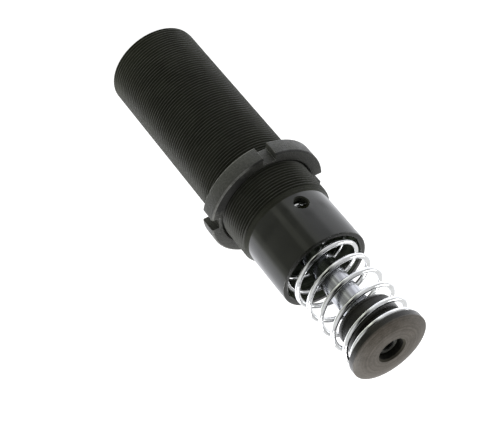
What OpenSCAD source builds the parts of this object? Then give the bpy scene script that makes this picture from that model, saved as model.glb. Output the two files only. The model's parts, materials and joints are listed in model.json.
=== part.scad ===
// Self-compensating hydraulic shock absorber with a threaded body, a lock ring
// and an external return spring. Millimetres. Z runs along the rod, and the
// origin is the centre of the flat rear face. Threads are drawn as plain
// cylinders at their outer diameter.

/* [Body] */
// Outer diameter of the threaded length
thread_d = 45; // [40:0.5:64]
// Drop in radius from the thread to the smooth collar
thread_step = 1.5; // [0.8:0.1:2.5]
// Length of the smooth collar at the front
collar_len = 27.6; // [18:0.2:40]
// Length of the chamfer between the thread and the collar
thread_runout = 2.6; // [1:0.1:4]
// Chamfer at the rear end of the thread
rear_chamfer = 0.7; // [0.2:0.1:1.5]
// Wall of the collar
collar_wall = 2.5; // [1.8:0.1:4]
// Bevel inside the mouth of the collar
mouth_bevel = 0.5; // [0.2:0.1:1]
// Bevel outside the mouth of the collar
lip_bevel = 0.4; // [0.2:0.1:1]
// Diameter of the vent hole through the collar
vent_d = 6.5; // [3:0.1:9]
// Distance from the collar's mouth to the vent hole's axis
vent_from_mouth = 22.2; // [14:0.2:26]
// Thickness of the closed rear end
rear_wall = 9; // [8:0.5:16]

/* [Lock ring] */
// Radial width of the lock ring
ring_width = 6.35; // [5:0.05:10]
// Thickness of the lock ring
ring_h = 8.2; // [5:0.1:14]
// Distance from the collar's mouth to the ring's rear face
ring_from_mouth = 53.6; // [40:0.2:90]
// Number of spanner slots
slot_n = 4; // [3:1:8]
// Width of a spanner slot
slot_w = 6.4; // [4:0.1:9]
// Depth of a spanner slot
slot_depth = 4; // [2:0.1:5]
// Turn of the slots from the X axis, in degrees
ring_turn = 3.5; // [0:0.5:90]
// Bevel on the ring's outer edges
ring_bevel = 0.5; // [0.2:0.1:1.2]
// Bevel at the ring's threaded bore
ring_lead = 1.1; // [0.4:0.1:2]

/* [Rod and button] */
// Travel of the rod
stroke = 48.6; // [25:0.1:75]
// Diameter of the piston rod
rod_d = 12.7; // [10:0.1:16]
// Thickness of the button's flange at its edge
flange_h = 3.4; // [2.5:0.1:6]
// Height of the crown above the flange's edge
crown_h = 1.8; // [0.8:0.1:3]
// Radius of the flat land in the middle of the crown
land_r = 10; // [8.5:0.1:12]
// Rounding of the flange's rear edge
flange_round = 0.6; // [0.2:0.1:1.2]
// Length of the hub behind the flange
hub_len = 15.8; // [12:0.2:20]
// Rounding of the hub's rear edge
hub_round = 2.5; // [0.5:0.1:3.5]
// Distance that the flange's edge sinks below the collar's mouth at full travel
flange_sink = 0.6; // [0.2:0.1:3]
// Thickness of the web between the rod's end and the lock washer
button_web = 2.9; // [1.5:0.1:5]
// Nominal diameter of the button screw
screw_d = 6; // [5:0.5:8]
// Length of the button screw's shank
screw_len = 16; // [12:1:25]
// Height of the screw's head
head_h = 6; // [4:0.5:7]
// Width by which the screw's head stands out round its shank
head_margin = 2; // [1.5:0.1:2.5]
// Size of the screw's socket across its flats
socket_af = 5; // [4:0.5:6]
// Depth of the screw's socket
socket_depth = 3; // [2:0.1:4]
// Depth of the screw head below the crown
head_sink = 3; // [0:0.1:4]
// Thickness of the split lock washer
washer_h = 1.6; // [0.8:0.1:2]
// Width by which the lock washer stands out round the screw's head
washer_margin = 0.6; // [0.3:0.1:2]
// Width of the split in the lock washer
washer_split = 1.6; // [0.8:0.1:2.5]
// Gap between the lock washer and the recess wall
recess_gap = 0.4; // [0.3:0.05:2]
// Chamfer at the mouth of the button's recess
recess_chamfer = 0.85; // [0.2:0.05:1.2]

/* [Piston and check valve] */
// Height of the piston
piston_h = 8; // [6:0.5:14]
// Diameter of the rod's rear spigot
spigot_d = 8; // [6:0.5:9]
// Height of the piston ring
piston_ring_h = 2.3; // [1.5:0.1:3]
// Radial width of the piston ring
piston_ring_w = 1.3; // [1:0.05:1.8]
// Diameter of the return passages
passage_d = 2.2; // [1:0.1:2.6]
// Number of return passages
passage_n = 6; // [3:1:8]
// Thickness of the check plate
plate_h = 1; // [0.6:0.1:1.5]
// Lift of the check plate
plate_lift = 0.8; // [0.4:0.1:1.5]
// Height of the piston nut's hexagon
nut_h = 5; // [4:0.5:8]
// Size of the piston nut across its flats
nut_af = 13; // [11:0.5:14]
// Wall of the nut's collar, which the check plate slides on
nut_collar_w = 1.2; // [0.8:0.1:1.5]
// Radial gap between the check plate and the nut's collar
plate_gap = 0.2; // [0.1:0.05:0.4]
// Width of the piston's outer edge that the check plate leaves free
plate_margin = 1.9; // [1.5:0.1:2.5]

/* [Pressure tube] */
// Width of the oil reservoir round the tube
reservoir_w = 3.5; // [2.5:0.1:6]
// Wall of the pressure tube
tube_wall = 2.5; // [1.5:0.1:4]
// Thickness of the tube's floor
tube_floor = 6.5; // [4:0.5:10]
// Depth of the tube's seat in the rear wall
tube_seat = 1.5; // [0.5:0.1:2]
// Clearance below the piston at full travel
end_gap = 3.4; // [1:0.1:8]
// Diameter of the metering orifices
orifice_d = 1.8; // [0.8:0.1:3]
// Number of metering orifices
orifice_n = 6; // [3:1:10]
// Crowding of the orifices towards the end of the travel
orifice_power = 1.7; // [1:0.1:2.5]
// Diameter of the return ports in front of the piston
port_d = 3; // [1.5:0.1:5]
// Distance from the piston's front face to the edge of the return ports
port_inset = 0.5; // [0.2:0.1:2]
// Distance from the return ports to the gland
port_edge = 0.2; // [0.1:0.1:3]
// Distance from the swept length to the first and the last orifice
orifice_inset = 2; // [1:0.5:4]
// Width of the drain slot under the tube's floor
drain_w = 4; // [2:0.5:6]
// Height of the drain slot under the tube's floor
drain_h = 1.2; // [0.5:0.1:2]
// Length of the reservoir behind the foam sleeve, which takes up the oil moved by the rod
foam_from_wall = 36.7; // [5:0.1:40]

/* [Gland] */
// Length of the gland's spigot in the tube
gland_spigot = 1.5; // [0.5:0.1:4]
// Wall of the guide bush
bush_wall = 1.5; // [1:0.1:2.5]
// Length of the guide bush
bush_len = 16; // [10:0.5:18]
// Radial width of the rod seal
seal_w = 3.05; // [2:0.05:4]
// Height of the rod seal
seal_h = 5.2; // [3.5:0.1:7]
// Length of gland between the guide bush and the rod seal
seal_land = 2.5; // [1.5:0.1:5]
// Length of gland between the rod seal and the wiper
wiper_land = 3.8; // [2:0.1:12]
// Radial width of the rod wiper
wiper_w = 2.6; // [1.8:0.1:4]
// Height of the rod wiper without its lip
wiper_h = 5.4; // [3:0.1:6]
// Height of the wiper's lip
lip_h = 1.4; // [0.5:0.1:2]
// Section diameter of the gland's O-ring
oring_d = 2.24; // [1.8:0.02:3]
// Extra width of the O-ring's groove
oring_slack = 0.9; // [0.3:0.1:1.5]
// Distance from the gland's rear face to the O-ring's groove
oring_inset = 8.5; // [3:0.5:20]
// Thickness of the retaining ring
clip_h = 1.5; // [1:0.1:2]
// Depth of the retaining ring's groove in the body
clip_groove = 1.05; // [0.6:0.05:1.3]
// Radial width of the retaining ring
clip_w = 2.8; // [2:0.1:3.5]
// Radius of the retaining ring's lugs
lug_r = 2.2; // [1.6:0.1:2.6]
// Half of the retaining ring's opening, in degrees
clip_open = 9; // [6:1:14]
// Turn of each lug from the edge of the opening, in degrees
lug_turn = 8; // [7:1:12]

/* [Return spring] */
// Wire diameter
wire_d = 2.4; // [1.6:0.1:3]
// Number of turns
spring_turns = 9; // [6:0.5:12]
// Turns at each end that lie closed
closed_turns = 0.4; // [0.25:0.05:1]
// Turns over which the pitch opens
opening_turns = 0.6; // [0.3:0.05:1]
// Length ground off each end
ground_off = 0.5; // [0.1:0.05:0.8]
// Gap between the spring and the collar's bore
spring_gap = 0.9; // [0.5:0.05:2]
// Gap between the spring and the button's hub
hub_gap = 1.7; // [0.5:0.1:3]
// Length left over when the spring is fully compressed
spring_spare = 0.4; // [0.1:0.1:3]
// Thickness of the spring seat
seat_h = 1; // [0.6:0.1:2]
// Height of the spring seat's centring lip
seat_lip_h = 2; // [1:0.1:2.6]
// Width of the spring seat's centring lip
seat_lip_w = 1.4; // [0.8:0.1:2]
// Gap between the centring lip and the spring
seat_lip_gap = 0.4; // [0.2:0.1:1]
// Gap between the wiper and the spring seat's bore
wiper_room = 1; // [0.5:0.1:2]

/* [Filler plug] */
// Nominal diameter of the filler plug
plug_d = 8; // [6:0.5:10]
// Diameter of the filler plug's head
plug_head_d = 12.4; // [11:0.1:14]
// Height of the filler plug's head
plug_head_h = 3; // [2:0.1:3.4]
// Depth of the filler plug below the rear face
plug_sink = 0.2; // [0.1:0.1:0.5]
// Thickness of the seal under the plug's head
plug_seal_h = 0.6; // [0.4:0.1:1]
// Size of the plug's socket across its flats
plug_socket_af = 5; // [4:0.5:6]
// Depth of the plug's socket
plug_socket_depth = 2.4; // [1.5:0.1:2.8]

/* [Fits] */
// Radial clearance of a running fit
running_fit = 0.05; // [0.02:0.01:0.09]
// Radial clearance of a seal or bush on the rod
rod_fit = 0.03; // [0.01:0.01:0.06]
// Radial gap between pieces that are fixed to each other
seat_fit = 0.03; // [0.01:0.01:0.05]
// Gap between the button's flange and the collar's bore
flange_gap = 0.3; // [0.2:0.05:0.6]
// Gap round the foam sleeve
foam_gap = 0.3; // [0.1:0.05:0.5]
// Radial gap round a screw or plug in a clearance hole
free_gap = 0.3; // [0.1:0.05:0.5]
// Axial play of a piece in its groove
groove_play = 0.1; // [0.05:0.05:0.3]
// Radial clearance of the piston ring in the tube
piston_ring_fit = 0.02; // [0.01:0.01:0.05]

/* [Hidden] */
$fn = 96;

// Overlap that lets one cut pass fully through a face
cut = 1;
// Bevel on the edges of small turned pieces
bevel = 0.3;
// Bevel at the end of a screw or a rod
end_bevel = 0.5;
// Radii, from the outside in
thread_r = thread_d/2;
collar_r = thread_r - thread_step;
bore_r = collar_r - collar_wall;
tube_or = bore_r - reservoir_w;
tube_ir = tube_or - tube_wall;
rod_r = rod_d/2;
rod_hole_r = rod_r + rod_fit;
spring_or = bore_r - spring_gap;
spring_r = spring_or - wire_d/2;
spring_ir = spring_or - wire_d;
hub_r = spring_ir - hub_gap;
flange_r = bore_r - flange_gap;

// Heights, from the rear face to the front
tube_z = rear_wall - tube_seat;
chamber_z = tube_z + tube_floor;
nut_z = chamber_z + end_gap + stroke;
nut_collar_r = spigot_d/2 + nut_collar_w;
plate_z = nut_z + nut_h + plate_lift;
piston_z = plate_z + plate_h;
shoulder_z = piston_z + piston_h;
gland_rear_z = shoulder_z + port_inset + port_d + port_edge;
gland_z = gland_rear_z + gland_spigot;
seal_z = gland_rear_z + bush_len + seal_land;
wiper_z = seal_z + seal_h + 2*groove_play + wiper_land;
seat_z = wiper_z + wiper_h;
clip_slot_h = clip_h + groove_play;
clip_z = seat_z - clip_slot_h;
spring_z = seat_z + seat_h;
spring_closed_len = (spring_turns + 1)*wire_d + spring_spare;
spring_len = spring_closed_len + stroke;
mouth_z = spring_z + spring_closed_len + flange_h + flange_sink;
flange_z = spring_z + spring_len;
crown_z = flange_z + flange_h + crown_h;
thread_end_z = mouth_z - collar_len;

// Screw and washer in the button's recess
head_r = screw_d/2 + head_margin;
washer_r = head_r + washer_margin;
recess_r = washer_r + recess_gap;
head_z = crown_z - head_sink - head_h;
recess_z = head_z - washer_h;
hub_z = flange_z - hub_len;
rod_top_z = recess_z - button_web;

// Fits inside the gland
clip_r = bore_r + clip_groove - seat_fit;
lug_centre_r = clip_r - clip_w;
gland_nose_r = lug_centre_r - lug_r - free_gap;
oring_z = gland_z + oring_inset;

// A plain disc with a hole
module sleeve(r_out, r_in, h) {
    difference() {
        cylinder(h = h, r = r_out);
        translate([0, 0, -cut])
            cylinder(h = h + 2*cut, r = r_in);
    }
}

// A cylinder with a bevel at its lower and upper edge
module bevelled(r, h, low, high) {
    translate([0, 0, low])
        cylinder(h = h - low - high, r = r);
    if (low > 0)
        cylinder(h = low, r1 = r - low, r2 = r);
    if (high > 0)
        translate([0, 0, h - high])
            cylinder(h = high, r1 = r, r2 = r - high);
}

// A cone-shaped cut that breaks the edge of a bore at height 0 of the cut's own frame
module edge_cut(r, bevel) {
    cylinder(h = bevel + cut, r1 = r, r2 = r + bevel + cut);
}

// A six-sided prism, given across its flats
module hexagon(af, h) {
    cylinder(h = h, r = af/2/cos(30), $fn = 6);
}

module outer_shape() {
    bevelled(thread_r, thread_end_z - thread_runout, rear_chamfer, 0);
    translate([0, 0, thread_end_z - thread_runout])
        cylinder(h = thread_runout, r1 = thread_r, r2 = collar_r);
    translate([0, 0, thread_end_z])
        bevelled(collar_r, collar_len, 0, lip_bevel);
}

module outer_body() {
    color([0.10, 0.10, 0.10])
    difference() {
        outer_shape();
        translate([0, 0, rear_wall])
            cylinder(h = mouth_z, r = bore_r);
        translate([0, 0, mouth_z - mouth_bevel])
            edge_cut(bore_r, mouth_bevel);
        translate([0, 0, tube_z])
            cylinder(h = tube_seat + cut, r = tube_or + seat_fit);
        translate([0, 0, clip_z])
            cylinder(h = clip_slot_h, r = bore_r + clip_groove);
        translate([0, 0, mouth_z - vent_from_mouth])
            rotate([90, 0, 0])
                cylinder(h = thread_r, r = vent_d/2);
        translate([0, 0, -cut])
            cylinder(h = rear_wall + cut, r = plug_d/2 + seat_fit);
        translate([0, 0, -cut])
            cylinder(h = cut + plug_sink + plug_head_h + plug_seal_h, r = plug_head_d/2 + free_gap);
    }
}

module spanner_slots() {
    for (i = [0 : slot_n - 1])
        rotate(ring_turn + i*360/slot_n)
            translate([thread_r + ring_width - slot_depth, -slot_w/2, -cut])
                cube([slot_depth + cut, slot_w, ring_h + 2*cut]);
}

module lock_ring() {
    ring_bore_r = thread_r + running_fit;
    color([0.22, 0.22, 0.23])
    translate([0, 0, mouth_z - ring_from_mouth])
    difference() {
        bevelled(thread_r + ring_width, ring_h, ring_bevel, ring_bevel);
        translate([0, 0, -cut])
            cylinder(h = ring_h + 2*cut, r = ring_bore_r);
        translate([0, 0, ring_h - ring_lead])
            edge_cut(ring_bore_r, ring_lead);
        translate([0, 0, ring_lead])
            mirror([0, 0, 1])
                edge_cut(ring_bore_r, ring_lead);
        spanner_slots();
    }
}

module fill_plug() {
    shank_len = tube_z - plug_sink - plug_head_h - end_bevel;
    color([0.62, 0.63, 0.65])
    difference() {
        union() {
            translate([0, 0, plug_sink])
                bevelled(plug_head_d/2, plug_head_h, bevel, 0);
            translate([0, 0, plug_sink + plug_head_h])
                bevelled(plug_d/2, shank_len, 0, end_bevel);
        }
        translate([0, 0, plug_sink - cut])
            hexagon(plug_socket_af, plug_socket_depth + cut);
    }
}

module fill_plug_seal() {
    color([0.72, 0.45, 0.25])
    translate([0, 0, plug_sink + plug_head_h])
        sleeve(plug_head_d/2, plug_d/2 + groove_play, plug_seal_h);
}

// Height of one metering orifice: they crowd together towards the end of the travel
function orifice_z(i) =
    let (ring_at_rest = piston_z + piston_h/2,
         first = nut_z - orifice_inset,
         last = ring_at_rest - stroke + orifice_inset)
    last + (first - last)*pow(1 - i/(orifice_n - 1), orifice_power);

module pressure_tube() {
    color([0.70, 0.71, 0.72])
    difference() {
        translate([0, 0, tube_z])
            cylinder(h = gland_z - tube_z, r = tube_or);
        translate([0, 0, chamber_z])
            cylinder(h = gland_z, r = tube_ir);
        for (i = [0 : orifice_n - 1])
            translate([0, 0, orifice_z(i)])
                rotate([0, 90, 0])
                    cylinder(h = thread_r, r = orifice_d/2);
        for (a = [0, 90])
            translate([0, 0, shoulder_z + port_d/2 + port_inset])
                rotate([90, 0, a])
                    cylinder(h = 2*thread_r, r = port_d/2, center = true);
        translate([-thread_r, -drain_w/2, tube_z - cut])
            cube([2*thread_r, drain_w, drain_h + tube_seat + cut]);
    }
}

module foam_accumulator() {
    foam_z = rear_wall + foam_from_wall;
    color([0.85, 0.80, 0.62])
    translate([0, 0, foam_z])
        sleeve(bore_r - foam_gap, tube_or + foam_gap, gland_z - foam_gap - foam_z);
}

module rod_gland() {
    groove_r = bore_r - oring_d - 2*seat_fit;
    color([0.16, 0.16, 0.17])
    difference() {
        union() {
            translate([0, 0, gland_z])
                cylinder(h = clip_z - gland_z, r = bore_r - running_fit);
            translate([0, 0, gland_rear_z])
                cylinder(h = gland_spigot, r = tube_ir - seat_fit);
            translate([0, 0, clip_z])
                cylinder(h = clip_slot_h, r = gland_nose_r);
        }
        translate([0, 0, gland_rear_z - cut])
            cylinder(h = seat_z, r = rod_r + free_gap);
        translate([0, 0, gland_rear_z - cut])
            cylinder(h = bush_len + cut, r = rod_hole_r + bush_wall + seat_fit);
        translate([0, 0, seal_z])
            cylinder(h = seal_h + 2*groove_play, r = rod_hole_r + seal_w + seat_fit);
        translate([0, 0, wiper_z])
            cylinder(h = wiper_h + cut, r = rod_hole_r + wiper_w + seat_fit);
        translate([0, 0, oring_z])
            sleeve(bore_r + cut, groove_r, oring_d + oring_slack);
    }
}

module guide_bush() {
    color([0.72, 0.55, 0.30])
    translate([0, 0, gland_rear_z])
    difference() {
        bevelled(rod_hole_r + bush_wall, bush_len, bevel, bevel);
        translate([0, 0, -cut])
            cylinder(h = bush_len + 2*cut, r = rod_hole_r);
    }
}

// Lip seal whose notch faces the oil
module rod_seal() {
    notch_w = seal_w/2;
    notch_h = seal_h/2;
    color([0.12, 0.25, 0.30])
    translate([0, 0, seal_z + groove_play])
    rotate_extrude()
    translate([rod_hole_r, 0])
    polygon([
        [0, 0],
        [(seal_w - notch_w)/2, 0],
        [seal_w/2, notch_h],
        [(seal_w + notch_w)/2, 0],
        [seal_w, 0],
        [seal_w, seal_h],
        [0, seal_h],
    ]);
}

// Scraper whose lip leans against the rod
module rod_wiper() {
    lip_edge = 0.5;
    lip_base = wiper_w/2;
    relief = 0.35;
    color([0.08, 0.08, 0.08])
    translate([0, 0, wiper_z])
    rotate_extrude()
    translate([rod_hole_r, 0])
    polygon([
        [relief, 0],
        [wiper_w, 0],
        [wiper_w, wiper_h],
        [lip_base, wiper_h],
        [lip_edge, wiper_h + lip_h],
        [0, wiper_h + lip_h],
        [0, wiper_h - lip_edge],
        [relief, wiper_h - 2*lip_edge],
    ]);
}

module gland_o_ring() {
    section_r = oring_d/2;
    color([0.07, 0.07, 0.07])
    translate([0, 0, oring_z + section_r + oring_slack/2])
    rotate_extrude()
    translate([bore_r - seat_fit - section_r, 0])
        circle(r = section_r);
}

// Places its children at the two lugs of the retaining ring
module at_lugs() {
    for (s = [-1, 1])
        rotate(90 + s*(clip_open + lug_turn))
            translate([lug_centre_r, 0, 0])
                children();
}

// Internal retaining ring with two lugs beside its opening
module retaining_ring() {
    open_half = clip_r*sin(clip_open);
    color([0.35, 0.33, 0.30])
    translate([0, 0, seat_z - clip_h])
    difference() {
        union() {
            difference() {
                sleeve(clip_r, clip_r - clip_w, clip_h);
                translate([-open_half, 0, -cut])
                    cube([2*open_half, 2*clip_r, clip_h + 2*cut]);
            }
            at_lugs()
                cylinder(h = clip_h, r = lug_r);
        }
        translate([0, 0, -cut])
            at_lugs()
                cylinder(h = clip_h + 2*cut, r = lug_r/2);
    }
}

module spring_seat() {
    lip_or = spring_ir - seat_lip_gap;
    inner_r = rod_hole_r + wiper_w + wiper_room;
    color([0.55, 0.56, 0.58])
    translate([0, 0, seat_z])
    difference() {
        union() {
            cylinder(h = seat_h, r = bore_r - flange_gap);
            cylinder(h = seat_h + seat_lip_h, r = lip_or);
        }
        translate([0, 0, -cut])
            cylinder(h = seat_h + seat_lip_h + 2*cut, r = inner_r);
        translate([0, 0, seat_h])
            cylinder(h = seat_lip_h + cut, r = lip_or - seat_lip_w);
    }
}

// Rise of the wire's centre along a half spring, counted in turns from its end
function coil_rise(t, pitch) =
    t < closed_turns ? wire_d*t
    : t < closed_turns + opening_turns
        ? wire_d*t + (pitch - wire_d)*pow(t - closed_turns, 2)/(2*opening_turns)
        : wire_d*t + (pitch - wire_d)*(t - closed_turns - opening_turns/2);

module return_spring() {
    sides = 8;
    per_turn = 26;
    steps = ceil(spring_turns*per_turn);
    height = spring_len - 2*(wire_d/2 - ground_off);
    open_turns = spring_turns - 2*closed_turns - opening_turns;
    pitch = wire_d + (height - wire_d*spring_turns)/open_turns;
    rings = [
        for (k = [0 : steps])
            let (t = k*spring_turns/steps,
                 rear = t < spring_turns/2,
                 rise = coil_rise(rear ? t : spring_turns - t, pitch),
                 z = rear ? rise : height - rise)
            [t*360, z]
    ];
    points = [
        for (ring = rings, s = [0 : sides - 1])
            let (q = (s + 0.5)*360/sides,
                 r = spring_r + wire_d/2*cos(q))
            [r*cos(ring[0]), r*sin(ring[0]), ring[1] + wire_d/2*sin(q)]
    ];
    last = steps*sides;
    faces = concat(
        [[for (s = [0 : sides - 1]) s]],
        [
            for (k = [0 : steps - 1], s = [0 : sides - 1])
                let (a = k*sides + s,
                     b = k*sides + (s + 1) % sides)
                [a, a + sides, b + sides, b]
        ],
        [[for (s = [sides - 1 : -1 : 0]) last + s]]
    );
    color([0.85, 0.86, 0.88])
    intersection() {
        translate([0, 0, spring_z + wire_d/2 - ground_off])
            polyhedron(points = points, faces = faces);
        translate([0, 0, spring_z])
            cylinder(h = spring_len, r = bore_r);
    }
}

module piston_rod() {
    tap_run = 3;
    tap_depth = rod_top_z - (head_z - screw_len) + tap_run;
    color([0.80, 0.81, 0.83])
    difference() {
        union() {
            translate([0, 0, shoulder_z])
                bevelled(rod_r, rod_top_z - shoulder_z, 0, end_bevel);
            translate([0, 0, nut_z])
                bevelled(spigot_d/2, shoulder_z - nut_z, end_bevel, 0);
        }
        translate([0, 0, rod_top_z - tap_depth])
            cylinder(h = tap_depth + cut, r = screw_d/2 + seat_fit);
    }
}

module piston() {
    groove_r = tube_ir - piston_ring_w - groove_play;
    passage_r = (nut_collar_r + groove_r)/2;
    color([0.60, 0.56, 0.50])
    translate([0, 0, piston_z])
    difference() {
        bevelled(tube_ir - running_fit, piston_h, end_bevel, end_bevel);
        translate([0, 0, -cut])
            cylinder(h = piston_h + 2*cut, r = spigot_d/2 + seat_fit);
        translate([0, 0, (piston_h - piston_ring_h)/2 - groove_play])
            sleeve(tube_ir + cut, groove_r, piston_ring_h + 2*groove_play);
        for (i = [0 : passage_n - 1])
            rotate(i*360/passage_n)
                translate([passage_r, 0, -cut])
                    cylinder(h = piston_h + 2*cut, r = passage_d/2);
    }
}

module piston_ring() {
    ring_r = tube_ir - piston_ring_fit;
    ring_split = 0.8;
    color([0.30, 0.30, 0.31])
    translate([0, 0, piston_z + (piston_h - piston_ring_h)/2])
    difference() {
        sleeve(ring_r, ring_r - piston_ring_w, piston_ring_h);
        translate([0, -ring_split/2, -cut])
            cube([thread_r, ring_split, piston_ring_h + 2*cut]);
    }
}

module check_plate() {
    color([0.50, 0.52, 0.55])
    translate([0, 0, plate_z])
        sleeve(tube_ir - plate_margin, nut_collar_r + plate_gap, plate_h);
}

module piston_nut() {
    color([0.62, 0.63, 0.65])
    translate([0, 0, nut_z])
    difference() {
        union() {
            intersection() {
                hexagon(nut_af, nut_h);
                bevelled(nut_af/2/cos(30), nut_h, end_bevel, 0);
            }
            cylinder(h = nut_h + plate_lift + plate_h, r = nut_collar_r);
        }
        translate([0, 0, -cut])
            cylinder(h = piston_z, r = spigot_d/2 + seat_fit);
    }
}

// Half section of the button: crowned flange and hub, both with a rounded rear edge
module button_section() {
    crown_w = flange_r - land_r;
    crown_r = (crown_w*crown_w + crown_h*crown_h)/(2*crown_h);
    translate([0, -hub_len + hub_round])
        square([hub_r, hub_len - hub_round + flange_h/2]);
    translate([0, -hub_len])
        square([hub_r - hub_round, hub_len]);
    translate([hub_r - hub_round, -hub_len + hub_round])
        circle(r = hub_round);
    intersection() {
        union() {
            square([flange_r - flange_round, flange_h + crown_h]);
            translate([0, flange_round])
                square([flange_r, flange_h + crown_h - flange_round]);
            translate([flange_r - flange_round, flange_round])
                circle(r = flange_round);
        }
        union() {
            square([land_r, flange_h + crown_h]);
            translate([land_r, flange_h + crown_h - crown_r])
                circle(r = crown_r);
        }
    }
}

module rod_button() {
    color([0.20, 0.19, 0.18])
    difference() {
        translate([0, 0, flange_z])
            rotate_extrude()
                button_section();
        translate([0, 0, recess_z])
            cylinder(h = crown_z, r = recess_r);
        translate([0, 0, crown_z - recess_chamfer])
            edge_cut(recess_r, recess_chamfer);
        translate([0, 0, hub_z - cut])
            cylinder(h = rod_top_z - hub_z + cut, r = rod_r + seat_fit);
        translate([0, 0, hub_z])
            cylinder(h = hub_len, r = screw_d/2 + free_gap);
    }
}

module button_screw() {
    color([0.30, 0.30, 0.31])
    difference() {
        union() {
            translate([0, 0, head_z])
                bevelled(head_r, head_h, 0, end_bevel);
            translate([0, 0, head_z - screw_len])
                bevelled(screw_d/2, screw_len, end_bevel, 0);
        }
        translate([0, 0, head_z + head_h - socket_depth])
            hexagon(socket_af, socket_depth + cut);
    }
}

// Split spring washer
module screw_washer() {
    color([0.45, 0.45, 0.46])
    translate([0, 0, recess_z])
    difference() {
        sleeve(washer_r, screw_d/2 + groove_play, washer_h);
        translate([0, -washer_split/2, -cut])
            cube([washer_r + cut, washer_split, washer_h + 2*cut]);
    }
}

outer_body();
lock_ring();
fill_plug();
fill_plug_seal();
pressure_tube();
foam_accumulator();
rod_gland();
guide_bush();
rod_seal();
rod_wiper();
gland_o_ring();
retaining_ring();
spring_seat();
return_spring();
piston_rod();
piston();
piston_ring();
check_plate();
piston_nut();
rod_button();
button_screw();
screw_washer();
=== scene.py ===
"""Hydraulic shock absorber: new meshes for five of its pieces, and a finish for every piece.

Blender's lengths are metres. The sizes named here are millimetres, and MM turns them into metres.
Z runs along the rod, and the rear face is at zero.
"""
import json
import math

import bpy
from mathutils import Matrix, Vector
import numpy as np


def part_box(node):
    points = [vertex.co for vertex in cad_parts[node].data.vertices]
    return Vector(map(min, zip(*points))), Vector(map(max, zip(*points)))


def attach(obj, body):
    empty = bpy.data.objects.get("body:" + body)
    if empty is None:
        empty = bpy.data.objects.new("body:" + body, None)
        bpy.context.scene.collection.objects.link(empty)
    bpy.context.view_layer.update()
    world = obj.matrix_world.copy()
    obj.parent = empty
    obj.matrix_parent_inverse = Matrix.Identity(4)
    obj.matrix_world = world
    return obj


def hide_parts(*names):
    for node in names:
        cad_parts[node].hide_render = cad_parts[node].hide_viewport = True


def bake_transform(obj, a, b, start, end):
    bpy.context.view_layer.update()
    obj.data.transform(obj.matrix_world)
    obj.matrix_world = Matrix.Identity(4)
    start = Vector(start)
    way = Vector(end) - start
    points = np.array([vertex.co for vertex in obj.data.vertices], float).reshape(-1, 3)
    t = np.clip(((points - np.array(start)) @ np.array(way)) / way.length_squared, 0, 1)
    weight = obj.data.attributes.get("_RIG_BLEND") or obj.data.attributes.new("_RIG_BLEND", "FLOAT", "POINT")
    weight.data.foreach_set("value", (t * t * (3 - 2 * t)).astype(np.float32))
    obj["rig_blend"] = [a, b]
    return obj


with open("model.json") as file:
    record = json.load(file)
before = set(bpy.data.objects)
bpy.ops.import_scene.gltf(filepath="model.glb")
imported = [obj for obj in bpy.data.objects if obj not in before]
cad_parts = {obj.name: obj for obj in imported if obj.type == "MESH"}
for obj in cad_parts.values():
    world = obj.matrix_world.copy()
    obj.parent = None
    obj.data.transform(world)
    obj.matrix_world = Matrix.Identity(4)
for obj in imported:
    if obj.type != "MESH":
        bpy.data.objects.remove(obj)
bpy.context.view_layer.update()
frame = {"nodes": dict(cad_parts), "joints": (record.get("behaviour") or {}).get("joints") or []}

MM = 0.001


def heights(node):
    """The heights of a CAD node's lowest and highest points, in millimetres."""
    low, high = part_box(node)
    return round(low.z / MM, 3), round(high.z / MM, 3)


def travel(joint):
    """How far a slide goes from end to end, in millimetres."""
    low, high = next(j["range_m"] for j in frame["joints"] if j["name"] == joint)
    return round((high - low) / MM, 3)


# Body, from the rear face to the mouth
MOUTH_Z = heights("outer_body")[1]
THREAD_R = 22.5
THREAD_PITCH = 1.5
RUNOUT_Z = 116.8
COLLAR_Z = 119.4
COLLAR_R = 21.0
BORE_R = 18.5
BORE_FLOOR_Z = 9.0
REAR_CHAMFER = 0.7
LIP_BEVEL = 0.4
MOUTH_BEVEL = 0.5
TUBE_SEAT_R = 15.03
TUBE_SEAT_Z = heights("pressure_tube")[0]
CLIP_GROOVE_R = 19.55
CLIP_GROOVE_Z = 116.0
CLIP_GROOVE_H = 1.6
VENT_R = 3.25
VENT_Z = 124.8
VENT_BREAK = 0.25
VENT_PITCH = 0.9

# Filler plug in the rear face. Its head stands on the seal at the bottom of the pocket.
PLUG_FACE_Z, PLUG_END_Z = heights("fill_plug")
PLUG_SHOULDER_Z, PLUG_POCKET_DEPTH = heights("fill_plug_seal")
PLUG_POCKET_R = 6.5
PLUG_POCKET_BREAK = 0.2
PLUG_HOLE_R = 4.03
PLUG_R = 4.0
PLUG_PITCH = 1.0
PLUG_HEAD_R = 6.2
PLUG_SOCKET_DEPTH = 2.4

# Slotted lock ring. RING_TURN is the bearing of its first slot in degrees.
RING_Z, RING_TOP_Z = heights("lock_ring")
RING_H = round(RING_TOP_Z - RING_Z, 3)
RING_MIDDLE_Z = (RING_Z + RING_TOP_Z) / 2
RING_R = 28.85
RING_BORE_R = 22.55
RING_THREAD_DEPTH = 0.4
RING_BEVEL = 0.5
RING_EDGE = 0.12
RING_LEAD = 1.1
RING_TURN = 3.5
SLOTS = 4
SLOT_W = 6.4
SLOT_DEPTH = 4.0

# Return spring
SPRING_Z, SPRING_TOP_Z = heights("return_spring")
SPRING_LEN = round(SPRING_TOP_Z - SPRING_Z, 3)
STROKE = travel("rod_slide")
WIRE_R = 1.2
COIL_R = 16.4
TURNS = 9
CLOSED_TURNS = 0.4
OPENING_TURNS = 0.6
GROUND_OFF = 0.5

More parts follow.
